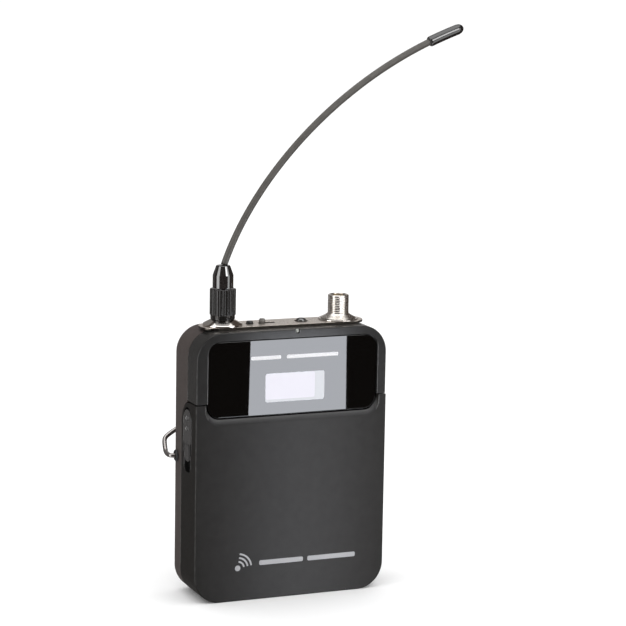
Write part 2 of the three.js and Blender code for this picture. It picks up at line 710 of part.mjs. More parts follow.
place("rear_shell", rearShell(), "case_plastic");
place("front_housing", frontHousing(), "case_plastic");
place("window_panel", windowPanel(), "window_gloss");
place("display_module", displayModule(), "display_glass");
place("indicator_lens", indicatorLens(), "lens_plastic");
place("top_plate", topPlate(), "plate_metal");
place("function_button", functionButton(), "black_plastic");
place("power_button", powerButton(), "black_plastic");
place("slide_switch", slideSwitch(), "button_rubber");

place("antenna_collar", antennaCollar(), "chrome");
place("antenna_socket", antennaSocket(), "chrome");
place("antenna_nut", antennaNut(), "black_plastic");
place("antenna_sleeve", antennaSleeve(), "tip_gloss");
place("antenna_whip", antennaWhip(), "whip_rubber");
place("antenna_tip", antennaTip(), "tip_gloss");

place("jack_flange", jackFlange(), "chrome");
place("jack_barrel", jackBarrel(), "chrome");
place("jack_insert", jackInsert(), "black_plastic");
jackPinPlaces().forEach((at, k) => place(`jack_pin_${k + 1}`, jackPin(at), "gold"));

place("battery_cover", batteryCover(), "cover_plastic");
place("hinge_pin", hingePin(), "steel");
place("latch_left", latch(-1), "black_plastic");
place("latch_right", latch(1), "black_plastic");

place("battery_tray", batteryTray(), "black_plastic");
place("cell_1", cell(CELL_X[0], true), "cell_wrap");
place("cell_2", cell(CELL_X[1], false), "cell_wrap");
place("contact_spring_1", contactSpring(CELL_X[0], 6.2, 1), "contact_metal");
place("contact_spring_2", contactSpring(CELL_X[1], 59.2, -1), "contact_metal");
place("contact_plate_1", contactPlate(CELL_X[0], 58.75, 59.15), "contact_metal");
place("contact_plate_2", contactPlate(CELL_X[1], 6.25, 6.65), "contact_metal");
for (const b of BUTTONS) place(b.name, controlButton(b.z), "button_rubber");

place("main_board", mainBoard(), "board_green");
place("rf_shield", rfShield(), "contact_metal");
place("control_board", controlBoard(), "board_green");
SCREWS.forEach((at, k) => place(`case_screw_${k + 1}`, caseScrew(at), "steel"));

place("clip_boss_left", clipBoss(-1), "black_plastic");
place("clip_boss_right", clipBoss(1), "black_plastic");
place("belt_clip_wire", beltClipWire(), "steel");

export default part;
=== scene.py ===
# Looks of the bodypack transmitter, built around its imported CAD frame.
# Lengths are in millimetres up to the point where a mesh or a shader is made from them.
# +Z is up, the display faces -Y, +X is to the right of the display.
import json
import math

import bmesh
import bpy
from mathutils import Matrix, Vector


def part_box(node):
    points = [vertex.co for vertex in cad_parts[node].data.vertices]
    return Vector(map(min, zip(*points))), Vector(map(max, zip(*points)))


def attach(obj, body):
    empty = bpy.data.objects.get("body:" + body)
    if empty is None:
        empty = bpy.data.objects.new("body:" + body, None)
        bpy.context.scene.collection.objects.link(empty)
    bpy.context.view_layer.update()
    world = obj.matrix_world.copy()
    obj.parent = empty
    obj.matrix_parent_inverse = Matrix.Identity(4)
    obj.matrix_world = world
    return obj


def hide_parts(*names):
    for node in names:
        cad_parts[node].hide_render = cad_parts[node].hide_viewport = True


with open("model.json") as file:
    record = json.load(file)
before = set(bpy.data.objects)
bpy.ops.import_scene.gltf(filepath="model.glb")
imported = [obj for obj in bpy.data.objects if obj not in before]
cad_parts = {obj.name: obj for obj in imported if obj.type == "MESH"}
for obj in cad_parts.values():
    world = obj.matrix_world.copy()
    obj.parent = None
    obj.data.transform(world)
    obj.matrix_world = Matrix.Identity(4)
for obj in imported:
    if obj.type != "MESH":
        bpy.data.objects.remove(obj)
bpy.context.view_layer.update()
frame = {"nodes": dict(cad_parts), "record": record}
MM = 0.001
SAME_POINT = 2e-6  # vertices closer than this, in metres, are joined


def box_mm(node):
    """Lowest and highest corner of a CAD node, in millimetres."""
    low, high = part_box(node)
    return low / MM, high / MM


def centre_mm(node):
    """Middle of a CAD node's box, in millimetres."""
    low, high = box_mm(node)
    return [(a + b) / 2 for a, b in zip(low, high)]


# ------------------------------------------------------------------ dimensions from the frame
shell_low, shell_high = box_mm("rear_shell")
cover_low, cover_high = box_mm("battery_cover")
window_low, window_high = box_mm("window_panel")
display_low, display_high = box_mm("display_module")
barrel_low, barrel_high = box_mm("jack_barrel")
lens_low, lens_high = box_mm("indicator_lens")

CASE_W = shell_high.x - shell_low.x
CASE_H = shell_high.z
BACK_Y = shell_high.y
FRONT_Y = box_mm("front_housing")[0].y
COVER_FRONT_Y = cover_low.y
COVER_W = cover_high.x - cover_low.x
COVER_TOP_Z = cover_high.z
PLATE_TOP_Z = box_mm("top_plate")[1].z
LATCH_SKIN_X = box_mm("latch_right")[1].x
HINGE_Y, HINGE_Z = centre_mm("hinge_pin")[1:]
CLIP_Y, CLIP_Z = centre_mm("clip_boss_right")[1:]
ANTENNA_X = centre_mm("antenna_socket")[0]
JACK_X = centre_mm("jack_barrel")[0]
OPENING = (window_low.x - 0.2, window_high.x + 0.2, window_low.z - 0.2, window_high.z + 0.3)
INDICATOR_X = centre_mm("indicator_lens")[0]
INDICATOR_Y = lens_low.y + 0.75
INDICATOR_Z = lens_high.z - 0.75

# ------------------------------------------------------------------ dimensions of the case
CORNER_R = 9.0  # corners of the case, seen from the front
HOUSING_ROLL = 0.3  # rolled front edge of the housing
COVER_ROLL = 0.35  # rolled front edge of the cover
REAR_ROLL = 2.2  # rolled rear edge of the case
WALL = 1.6
GAP = 0.15  # half of a joint line
TOP_LINE = 0.35  # joint line between the cover and the housing above it
PART_Y = -2.0  # where the housing meets the rear shell
COVER_PART_Y = 3.0  # where the cover meets the rear shell
SHOULDER_R = 7.8  # top rear corner of the cover's sides
PIN_HOLE_R = 0.8
KNUCKLE_R = 1.9
KNUCKLE_L = 9.2
LATCH_Y = -3.0
LATCH_PAD = 3.5  # half width of the latch's thumb pad
LATCH_TONGUE = 2.6  # half width of the tongue below the pad
LATCH_TOP_Z = 60.4  # centre of the pad's round top
LATCH_STEP_Z = 52.6  # where the pad narrows into the tongue
LATCH_END_Z = 46.7
LATCH_RUN = 3.3  # length of pocket below the latch
POCKET_DEPTH = 0.95

# ------------------------------------------------------------------ dimensions of the antenna and the jack
NUT_R = 4.3
NUT_RIBS = 24
RIB_DEPTH = 0.15
SLEEVE_R = 3.42
WHIP_R = 1.12
TIP_R = 1.75
TIP_START = 0.905  # share of the whip's curve that lies below the tip
THREAD_R = 3.5
THREAD_DEPTH = 0.16
THREAD_PITCH = 0.8


# ------------------------------------------------------------------ meshes
def mesh_object(name, vertices, faces):
    """Object in metres from vertices in millimetres, with its faces turned outwards."""
    mesh = bpy.data.meshes.new(name)
    mesh.from_pydata([Vector(v) * MM for v in vertices], [], faces)
    bm = bmesh.new()
    bm.from_mesh(mesh)
    bmesh.ops.recalc_face_normals(bm, faces=bm.faces)
    bm.to_mesh(mesh)
    bm.free()
    obj = bpy.data.objects.new(name, mesh)
    bpy.context.scene.collection.objects.link(obj)
    return obj


def loft(name, rings):
    """Closed skin over rings that all have the same number of points."""
    n = len(rings[0])
    vertices = [p for ring in rings for p in ring]
    faces = []
    for k in range(len(rings) - 1):
        for i in range(n):
            a = k * n + i
            b = k * n + (i + 1) % n
            faces.append((a, b, b + n, a + n))
    last = (len(rings) - 1) * n
    faces.append(tuple(range(n)))
    faces.append(tuple(last + i for i in range(n)))
    return mesh_object(name, vertices, faces)


def arc(cx, cy, r, start, stop, steps):
    """Points on a circle about (cx, cy), from one angle to another."""
    angles = [start + i * (stop - start) / steps for i in range(steps + 1)]
    return [(cx + r * math.cos(angle), cy + r * math.sin(angle)) for angle in angles]


def rounded(x0, x1, z0, z1, r, steps=10):
    """Rounded rectangle as (x, z) points."""
    quarter = math.pi / 2
    return (
        arc(x1 - r, z0 + r, r, -quarter, 0, steps)
        + arc(x1 - r, z1 - r, r, 0, quarter, steps)
        + arc(x0 + r, z1 - r, r, quarter, 2 * quarter, steps)
        + arc(x0 + r, z0 + r, r, 2 * quarter, 3 * quarter, steps)
    )


def at_depth(points, y):
    """Places flat (x, z) points at one depth."""
    return [(x, y, z) for x, z in points]


def slab(name, x0, x1, z0, z1, r, y0, y1, steps=8):
    """Plate with rounded corners, standing upright between two depths."""
    points = rounded(x0, x1, z0, z1, r, steps)
    return loft(name, [at_depth(points, y0), at_depth(points, y1)])


def case_block(name, width, z0, z1, r, y0, y1, front_roll=0.0, rear_roll=0.0):
    """Block with the case's outline and rolled front and rear edges."""
    corner_steps = 16
    roll_steps = 6
    half = width / 2

    def ring(inset, y):
        points = rounded(-half + inset, half - inset, z0 + inset, z1 - inset, r - inset, corner_steps)
        return at_depth(points, y)

    rings = []
    if front_roll:
        for i in range(roll_steps):
            t = i / roll_steps * math.pi / 2
            rings.append(ring(front_roll * (1 - math.sin(t)), y0 + front_roll * (1 - math.cos(t))))
    rings.append(ring(0, y0 + front_roll))
    rings.append(ring(0, y1 - rear_roll))
    if rear_roll:
        for i in reversed(range(roll_steps)):
            t = i / roll_steps * math.pi / 2
            rings.append(ring(rear_roll * (1 - math.sin(t)), y1 - rear_roll * (1 - math.cos(t))))
    return loft(name, rings)


def block(x0, x1, y0, y1, z0, z1):
    """Square-edged box."""
    points = [(x0, z0), (x1, z0), (x1, z1), (x0, z1)]
    return loft("tool", [at_depth(points, y0), at_depth(points, y1)])


def rod(axis, r, a, b, c1, c2, steps=48):
    """Cylinder along x, y or z from a to b, its axis through the other two coordinates."""
    circle = arc(0, 0, r, 0, 2 * math.pi * (1 - 1 / steps), steps - 1)
    if axis == "x":
        rings = [[(s, c1 + u, c2 + v) for u, v in circle] for s in (a, b)]
    elif axis == "y":
        rings = [[(c1 + u, s, c2 + v) for u, v in circle] for s in (a, b)]
    else:
        rings = [[(c1 + u, c2 + v, s) for u, v in circle] for s in (a, b)]
    return loft("tool", rings)


def along_x(points, x0, x1):
    """Flat (y, z) shape drawn out from x0 to x1."""
    return loft("tool", [[(x, y, z) for y, z in points] for x in (x0, x1)])


def boolean(base, tools, operation="DIFFERENCE"):
    """Cuts, joins or intersects with the tools, which are then removed."""
    for tool in tools:
        step = base.modifiers.new("boolean", "BOOLEAN")
        step.operation = operation
        step.solver = "MANIFOLD"
        step.object = tool
    depsgraph = bpy.context.evaluated_depsgraph_get()
    mesh = bpy.data.meshes.new_from_object(base.evaluated_get(depsgraph))
    base.modifiers.clear()
    base.data = mesh
    for tool in tools:
        bpy.data.objects.remove(tool)
    return base


def lathe(name, profile, x, y, steps=72, radius=None):
    """Turned solid about a vertical axis; radius(r, z, angle) may shape it further."""
    shape = radius or (lambda r, z, angle: r)
    vertices = []
    faces = []
    first_on_axis = profile[0][0] == 0
    last_on_axis = profile[-1][0] == 0
    rows = []
    for r, z in profile:
        if r == 0:
            rows.append([len(vertices)])
            vertices.append((x, y, z))
            continue
        row = []
        for i in range(steps):
            angle = 2 * math.pi * i / steps
            s = shape(r, z, angle)
            row.append(len(vertices))
            vertices.append((x + s * math.cos(angle), y + s * math.sin(angle), z))
        rows.append(row)
    pairs = list(zip(rows, rows[1:]))
    if not (first_on_axis and last_on_axis):
        pairs.append((rows[-1], rows[0]))
    for low, high in pairs:
        for i in range(steps):
            j = (i + 1) % steps
            if len(low) == 1:
                faces.append((low[0], high[j], high[i]))
            elif len(high) == 1:
                faces.append((low[i], low[j], high[0]))
            else:
                faces.append((low[i], low[j], high[j], high[i]))
    return mesh_object(name, vertices, faces)


def tidy(obj):
    """Joins doubles and flat faces that a boolean left split."""
    bm = bmesh.new()
    bm.from_mesh(obj.data)
    bmesh.ops.remove_doubles(bm, verts=bm.verts, dist=SAME_POINT)
    bmesh.ops.dissolve_degenerate(bm, edges=bm.edges, dist=1e-6)
    bmesh.ops.dissolve_limit(bm, angle_limit=math.radians(0.4), verts=bm.verts, edges=bm.edges)
    bm.to_mesh(obj.data)
    bm.free()


def soften(obj, edge, sharper_than=38, segments=2):
    """Small bevels on sharp edges and smooth shading on the rest."""
    for polygon in obj.data.polygons:
        polygon.use_smooth = True
    if edge:
        bevel = obj.modifiers.new("edges", "BEVEL")
        bevel.limit_method = "ANGLE"
        bevel.angle_limit = math.radians(sharper_than)
        bevel.width = edge * MM
        bevel.segments = segments
        bevel.harden_normals = True
    weighted = obj.modifiers.new("normals", "WEIGHTED_NORMAL")
    weighted.keep_sharp = True


def piece(obj, name, material, body, nodes=()):
    """Names a finished object, gives it its material and hangs it on its CAD body."""
    obj.name = name
    obj.data.name = name
    obj.data.materials.clear()
    obj.data.materials.append(material)
    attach(obj, body)
    if nodes:
        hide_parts(*nodes)
    return obj


def copy_of(node):
    """A working copy of a CAD node's mesh."""
    obj = bpy.data.objects.new(node + "_fine", frame["nodes"][node].data.copy())
    bpy.context.scene.collection.objects.link(obj)
    tidy(obj)
    return obj


def body_name(node):
    """Moving body that a CAD node belongs to."""
    return next(b for b, members in frame["record"]["behaviour"]["bodies"].items() if node in members)


def refined(node, material, edge=0.12, sharper_than=38):
    """Stands a bevelled, smooth-shaded copy in for a CAD node."""
    obj = copy_of(node)
    soften(obj, edge, sharper_than)
    return piece(obj, node + "_fine", material, body_name(node), [node])


def rounded_bar(node, material, regain, levels=2):
    """Stands a subdivided copy in for a bent round bar, grown by `regain` to keep its thickness."""
    obj = bpy.data.objects.new(node + "_fine", frame["nodes"][node].data.copy())
    bpy.context.scene.collection.objects.link(obj)
    bm = bmesh.new()
    bm.from_mesh(obj.data)
    bmesh.ops.remove_doubles(bm, verts=bm.verts, dist=SAME_POINT)
    bmesh.ops.join_triangles(
        bm, faces=bm.faces, angle_face_threshold=math.radians(60), angle_shape_threshold=math.radians(170)
    )
    bm.to_mesh(obj.data)
    bm.free()
    for polygon in obj.data.polygons:
        polygon.use_smooth = True
    smooth = obj.modifiers.new("smooth", "SUBSURF")
    smooth.levels = levels
    smooth.render_levels = levels
    grow = obj.modifiers.new("regain", "DISPLACE")
    grow.strength = regain * MM
    grow.mid_level = 0
    return piece(obj, node + "_fine", material, body_name(node), [node])


# ------------------------------------------------------------------ materials
class Paint:
    """Node-based material with helpers for fine surface detail."""

    def __init__(self, name, color, roughness, metallic=0.0, ior=1.5, specular=0.5):
        self.material = bpy.data.materials.new(name)
        self.material.use_nodes = True
        self.tree = self.material.node_tree
        self.shader = self.tree.nodes["Principled BSDF"]
        self.shader.inputs["Base Color"].default_value = (*color, 1)
        self.shader.inputs["Roughness"].default_value = roughness
        self.shader.inputs["Metallic"].default_value = metallic
        self.shader.inputs["IOR"].default_value = ior
        self.shader.inputs["Specular IOR Level"].default_value = specular
        self.color = color
        self.roughness = roughness
        self.place = self.node("ShaderNodeTexCoord").outputs["Object"]
        self.normal = None

    def node(self, kind, **settings):
        """New shader node with the given settings."""
        made = self.tree.nodes.new(kind)
        for key, value in settings.items():
            setattr(made, key, value)
        return made

    def link(self, a, b):
        self.tree.links.new(a, b)

    def noise(self, size, detail=3.0, stretch=(1, 1, 1)):
        """Noise whose features are about `size` mm across."""
        mapping = self.node("ShaderNodeMapping")
        mapping.inputs["Scale"].default_value = stretch
        self.link(self.place, mapping.inputs["Vector"])
        noise = self.node("ShaderNodeTexNoise")
        noise.inputs["Scale"].default_value = 1 / (size * MM)
        noise.inputs["Detail"].default_value = detail
        self.link(mapping.outputs["Vector"], noise.inputs["Vector"])
        return noise.outputs["Fac"]

    def spread(self, source, low, high):
        """Maps a 0.3 to 0.7 signal, such as noise, onto low to high."""
        ranged = self.node("ShaderNodeMapRange")
        ranged.inputs["From Min"].default_value = 0.3
        ranged.inputs["From Max"].default_value = 0.7
        ranged.inputs["To Min"].default_value = low
        ranged.inputs["To Max"].default_value = high
        self.link(source, ranged.inputs["Value"])
        return ranged.outputs["Result"]

    def vary_roughness(self, size, amount, stretch=(1, 1, 1)):
        """Lets the roughness wander by `amount` to either side."""
        grain = self.noise(size, 4.0, stretch)
        varied = self.spread(grain, self.roughness - amount, self.roughness + amount)
        self.link(varied, self.shader.inputs["Roughness"])
        return self

    def bump(self, size, depth, detail=2.0, stretch=(1, 1, 1)):
        """Fine relief of the given depth in mm."""
        bump = self.node("ShaderNodeBump")
        bump.inputs["Strength"].default_value = 1.0
        bump.inputs["Distance"].default_value = depth * MM
        self.link(self.noise(size, detail, stretch), bump.inputs["Height"])
        if self.normal:
            self.link(self.normal, bump.inputs["Normal"])
        self.normal = bump.outputs["Normal"]
        self.link(self.normal, self.shader.inputs["Normal"])
        return self

    def tint(self, source, color):
        """Blends the base colour towards another colour by a 0 to 1 signal."""
        mix = self.node("ShaderNodeMix", data_type="RGBA")
        socket = self.shader.inputs["Base Color"]
        if socket.is_linked:
            self.link(socket.links[0].from_socket, mix.inputs["A"])
        else:
            mix.inputs["A"].default_value = socket.default_value
        mix.inputs["B"].default_value = (*color, 1)
        self.link(source, mix.inputs["Factor"])
        self.link(mix.outputs["Result"], socket)
        return self

    def mottle(self, size, amount):
        """Slight lighter patches in the colour."""
        lighter = tuple(min(1, c * (1 + amount) + 0.002) for c in self.color)
        return self.tint(self.spread(self.noise(size, 5.0), 0, 1), lighter)

    def wear_and_highlight_edges(self, color, radius=0.3, amount=0.7):
        """Lighter upright edges, where a rounded normal leaves the true one: wear on most materials, and a
        painted highlight on the housing and the cover, whose edge colours are far paler than their bodies.
        """
        bevel = self.node("ShaderNodeBevel", samples=4)
        bevel.inputs["Radius"].default_value = radius * MM
        true = self.node("ShaderNodeNewGeometry").outputs["Normal"]
        dot = self.node("ShaderNodeVectorMath", operation="DOT_PRODUCT")
        self.link(bevel.outputs["Normal"], dot.inputs[0])
        self.link(true, dot.inputs[1])
        mask = self.node("ShaderNodeMapRange")
        mask.inputs["From Min"].default_value = 0.995
        mask.inputs["From Max"].default_value = 0.85
        mask.inputs["To Max"].default_value = amount
        self.link(dot.outputs["Value"], mask.inputs["Value"])
        lean = self.node("ShaderNodeSeparateXYZ")
        self.link(bevel.outputs["Normal"], lean.inputs["Vector"])
        steep = self.node("ShaderNodeMath", operation="ABSOLUTE")
        self.link(lean.outputs["Z"], steep.inputs[0])
        upright = self.node("ShaderNodeMapRange")
        upright.inputs["From Min"].default_value = 0.3
        upright.inputs["From Max"].default_value = 0.05
        self.link(steep.outputs["Value"], upright.inputs["Value"])
        wear_and_highlight_mask = self.node("ShaderNodeMath", operation="MULTIPLY")
        self.link(mask.outputs["Result"], wear_and_highlight_mask.inputs[0])
        self.link(upright.outputs["Result"], wear_and_highlight_mask.inputs[1])
        broken = self.node("ShaderNodeMath", operation="MULTIPLY")
        self.link(wear_and_highlight_mask.outputs["Value"], broken.inputs[0])
        self.link(self.spread(self.noise(1.6, 6.0), 0.35, 1), broken.inputs[1])
        return self.tint(broken.outputs["Value"], color)

    def painted_top_light(self, color, amount=1.0):
        """Painted highlight: a paler colour on faces that lean upwards, standing in for light from above,
        with none on level faces.
        """
        lean = self.node("ShaderNodeSeparateXYZ")
        self.link(self.node("ShaderNodeNewGeometry").outputs["Normal"], lean.inputs["Vector"])
        mask = self.node("ShaderNodeMapRange")
        mask.inputs["From Min"].default_value = 0.12
        mask.inputs["From Max"].default_value = 0.6
        mask.inputs["To Max"].default_value = amount
        self.link(lean.outputs["Z"], mask.inputs["Value"])
        level = self.node("ShaderNodeMapRange")
        level.inputs["From Min"].default_value = 0.92
        level.inputs["From Max"].default_value = 0.75
        self.link(lean.outputs["Z"], level.inputs["Value"])
        top_light_mask = self.node("ShaderNodeMath", operation="MULTIPLY")
        self.link(mask.outputs["Result"], top_light_mask.inputs[0])
        self.link(level.outputs["Result"], top_light_mask.inputs[1])
        return self.tint(top_light_mask.outputs["Value"], color)


def satin(name, color, roughness, grain, depth, edge_wear_and_highlight_color, specular=0.5, painted_top_light=None):
    """Moulded plastic with a spark-eroded grain, lighter edges and, where given, a painted highlight on
    faces that lean upwards; the lighter edges are wear on most materials and a painted highlight on the
    housing and the cover.
    """
    paint = Paint(name, color, roughness, specular=specular)
    paint.mottle(3, 0.10)
    if painted_top_light:
        paint.painted_top_light(painted_top_light)
    paint.wear_and_highlight_edges(edge_wear_and_highlight_color)
    paint.vary_roughness(0.8, 0.03)
    paint.bump(grain, depth)
    return paint.material


def gloss(name, color, roughness=0.06):
    """Polished plastic with faint wipe marks."""
    paint = Paint(name, color, roughness)
    paint.vary_roughness(3, roughness * 0.5, (1, 1, 0.2))
    paint.bump(2.5, 0.0006)
    return paint.material


def metal(name, color, roughness, stretch=(1, 1, 1), size=0.3, depth=0.0015):
    """Metal whose grain is drawn out by `stretch`."""
    paint = Paint(name, color, roughness, 1.0)
    paint.mottle(3, 0.06)
    paint.vary_roughness(size, roughness * 0.35, stretch)
    paint.bump(size, depth, 3.0, stretch)
    return paint.material


def plate_metal():
    """Champagne plate whose sides, under its top face, are painted dark brown: a painted reflection of the
    dark surroundings.
    """
    paint = Paint("plate_champagne", (0.60, 0.55, 0.50), 0.3, 1.0)
    paint.mottle(3, 0.06)
    height = paint.node("ShaderNodeSeparateXYZ")
    paint.link(paint.place, height.inputs["Vector"])
    # Painted reflection: everything below the top face takes a dark brown.
    edge = paint.node("ShaderNodeMath", operation="LESS_THAN")
    edge.inputs[1].default_value = (PLATE_TOP_Z - 0.12) * MM
    paint.link(height.outputs["Z"], edge.inputs[0])
    paint.tint(edge.outputs["Value"], (0.09, 0.08, 0.07))
    paint.vary_roughness(0.12, 0.08, (0.05, 1, 1))
    paint.bump(0.12, 0.0015, 3.0, (0.05, 1, 1))
    return paint.material


def lacquer(name, ior):
    """Hard black coating, whose shine grows with its refractive index."""
    paint = Paint(name, (0.008, 0.007, 0.007), 0.07, 0.0, ior)
    paint.mottle(2, 0.1)
    paint.wear_and_highlight_edges((0.05, 0.047, 0.044), 0.15)
    paint.vary_roughness(1.5, 0.03)
    paint.bump(1.2, 0.0006)
    return paint.material


def whip_sheath():
    """Matt rubber with a fine pebbled grain."""
    paint = Paint("whip_sheath", (0.056, 0.051, 0.045), 0.5)
    paint.mottle(2, 0.25)
    paint.vary_roughness(1.5, 0.08)
    paint.bump(0.35, 0.01)
    return paint.material


def board_mask():
    """Green solder mask with copper tracks showing through."""
    paint = Paint("board_mask", (0.012, 0.075, 0.035), 0.35)
    tracks = paint.node("ShaderNodeTexBrick")
    tracks.inputs["Scale"].default_value = 140
    tracks.inputs["Mortar Size"].default_value = 0.03
    paint.link(paint.place, tracks.inputs["Vector"])
    paint.tint(tracks.outputs["Fac"], (0.05, 0.16, 0.06))
    paint.vary_roughness(1, 0.08)
    paint.bump(0.6, 0.01)
    return paint.material


def display_pane(name, color):
    """Smooth pane of the display."""
    paint = Paint(name, color, 0.04)
    paint.mottle(5, 0.02)
    paint.vary_roughness(2, 0.012)
    paint.bump(2.5, 0.0004)
    return paint.material


def printed_ink(name, color):
    """Matt ink, slightly uneven."""
    paint = Paint(name, color, 0.55)
    paint.mottle(0.5, 0.10)
    paint.vary_roughness(0.8, 0.06)
    paint.bump(0.2, 0.004)
    return paint.material


def cell_wrap(height_low, height_high):
    """Printed can: dark body, a lighter band near one end, bare metal at the ends."""
    paint = Paint("cell_wrap", (0.045, 0.07, 0.11), 0.28)
    height = paint.node("ShaderNodeSeparateXYZ")
    paint.link(paint.place, height.inputs["Vector"])
    for low, high, color in (
        (height_low + 6, height_low + 11, (0.55, 0.56, 0.58)),
        (height_low - 2, height_low + 0.8, (0.62, 0.61, 0.58)),
        (height_high - 2, height_high + 3, (0.62, 0.61, 0.58)),
    ):
        band = paint.node("ShaderNodeMath", operation="COMPARE")
        band.inputs[1].default_value = (low + high) / 2 * MM
        band.inputs[2].default_value = (high - low) / 2 * MM
        paint.link(height.outputs["Z"], band.inputs[0])
        paint.tint(band.outputs["Value"], color)
    paint.vary_roughness(2, 0.05)
    paint.bump(1.2, 0.004)
    return paint.material


# The cover's pale edge colour is a painted highlight on its upright edges, and its grey on upward-leaning
# faces is a painted highlight from above.
COVER = satin(
    "cover_soft_touch",
    (0.0095, 0.0085, 0.0075),
    0.40,
    grain=0.22,
    depth=0.006,
    edge_wear_and_highlight_color=(0.65, 0.65, 0.65),
    specular=0.12,
    painted_top_light=(0.10, 0.10, 0.102),
)
# The housing's pale edge colour is a painted highlight on its upright edges.
HOUSING = satin("housing_satin", (0.012, 0.0115, 0.011), 0.23, 0.2, 0.002, (0.55, 0.55, 0.56), 0.26)
REAR = satin("rear_shell_satin", (0.046, 0.036, 0.033), 0.36, 0.22, 0.005, (0.10, 0.09, 0.085), 0.4)
# Near-black painted shade for the latch pockets.
POCKET_SHADE = satin("latch_pocket_shade", (0.003, 0.003, 0.003), 0.7, 0.3, 0.01, (0.003, 0.003, 0.003), 0.05)
BLACK = satin("black_satin", (0.018, 0.018, 0.019), 0.4, 0.2, 0.004, (0.05, 0.05, 0.05))
LATCH = satin("latch_satin", (0.028, 0.027, 0.027), 0.2, 0.2, 0.002, (0.16, 0.16, 0.16))
TRAY = satin("tray_plastic", (0.022, 0.022, 0.023), 0.5, 0.3, 0.01, (0.06, 0.06, 0.06))
GREY = satin("button_grey", (0.20, 0.20, 0.205), 0.5, 0.2, 0.004, (0.4, 0.4, 0.4))
NUT = satin("nut_satin", (0.008, 0.0075, 0.007), 0.17, 0.2, 0.001, (0.04, 0.04, 0.04), 0.6)
KNOB = satin("switch_knob", (0.13, 0.12, 0.11), 0.35, 0.2, 0.004, (0.3, 0.28, 0.26))
WINDOW = gloss("window_black", (0.0008, 0.0008, 0.0008), 0.015)
LENS = gloss("lens_clear", (0.30, 0.31, 0.29), 0.08)
CHROME = metal("chrome_plate", (0.80, 0.76, 0.71), 0.09)
NICKEL = metal("barrel_nickel", (0.80, 0.76, 0.71), 0.24)
STEEL = metal("drawn_steel", (0.62, 0.61, 0.60), 0.24, (1, 1, 0.2), 0.3, 0.0004)
WIRE = metal("clip_wire", (0.36, 0.34, 0.33), 0.28, (1, 1, 0.2), 0.3, 0.0004)
CONTACT = metal("contact_nickel", (0.62, 0.60, 0.54), 0.3)
GOLD = metal("pin_gold", (0.75, 0.55, 0.22), 0.25)
PLATE = plate_metal()
LACQUER = lacquer("black_lacquer", 2.3)
TIP = lacquer("tip_lacquer", 1.75)
WHIP = whip_sheath()
BOARD = board_mask()
DISPLAY_BORDER = display_pane("display_border", (0.31, 0.315, 0.33))
DISPLAY_LIT = display_pane("display_lit", (0.42, 0.40, 0.45))
INK = printed_ink("printed_ink", (0.29, 0.29, 0.30))
WINDOW_INK = printed_ink("window_ink", (0.62, 0.62, 0.64))
CELL = cell_wrap(8, 57.5)


# ------------------------------------------------------------------ case
def cover_side(grow):
    """Side view, as (y, z) points, of the space that belongs to the battery cover."""
    top = COVER_TOP_Z + grow
    rear = COVER_PART_Y - GAP + grow
    shoulder = arc(rear - SHOULDER_R, top - SHOULDER_R, SHOULDER_R, 0, math.pi / 2, 16)
    return [(-14, -2), (rear, -2)] + shoulder + [(-14, top)]


def cavity(y0, y1):
    """Inside of the case between two depths."""
    return case_block("tool", CASE_W - 2 * WALL, WALL, CASE_H - WALL, CORNER_R - WALL, y0, y1)


def top_holes():
    """Openings of the top controls, one size larger than each of them."""
    below, above = 88, 92
    slot_low = centre_mm("slide_switch")[0] - 1.4
    return [
        rod("z", 4.3, below, above, ANTENNA_X, 0),
        rod("z", 3.9, below, above, JACK_X, 0),
        rod("z", 1.4, below, above, centre_mm("power_button")[0], 0),
        block(slot_low, slot_low + 5.8, -1.1, 1.1, below, above),
        rod("z", 2.3, below, above, centre_mm("function_button")[0], 0),
    ]


def knuckle(x, y0, y1):
    """Barrel of the hinge, centred on x, and the arm that holds it between two depths."""
    x0 = x - KNUCKLE_L / 2
    x1 = x + KNUCKLE_L / 2
    return [rod("x", KNUCKLE_R, x0, x1, HINGE_Y, HINGE_Z), block(x0, x1, y0, y1, 0.4, 1.9)]


def rear_shell():
    """Back half of the case: hinge groove and knuckles, label recess, screw holes and clip holes."""
    shell = case_block("rear", CASE_W, 0, CASE_H, CORNER_R, PART_Y + GAP, BACK_Y, 0, REAR_ROLL)
    boolean(shell, [cavity(-14, BACK_Y - WALL), along_x(cover_side(2 * GAP), -40, 40)])
    boolean(shell, [rod("x", 3.3, -31.3, 31.3, HINGE_Y, HINGE_Z)])
    for x in (-19, 0, 19):
        boolean(shell, knuckle(x, HINGE_Y, HINGE_Y + 4.2), "UNION")
    tools = [rod("x", PIN_HOLE_R, -35, 35, HINGE_Y, HINGE_Z)]
    tools.append(slab("tool", -24, 24, 14, 34, 2, BACK_Y - 0.3, 12))
    for k in range(1, 5):
        x, _, z = centre_mm(f"case_screw_{k}")
        tools += [rod("y", 2.1, 10.2, 12, x, z), rod("y", 1.15, 9, 12, x, z)]
    for a, b in ((-35, -31), (31, 35)):
        tools.append(rod("x", 0.95, a, b, CLIP_Y, CLIP_Z))
    boolean(shell, tools + top_holes())
    tidy(shell)
    soften(shell, 0.14)
    piece(shell, "rear_shell_fine", REAR, "case", ["rear_shell"])


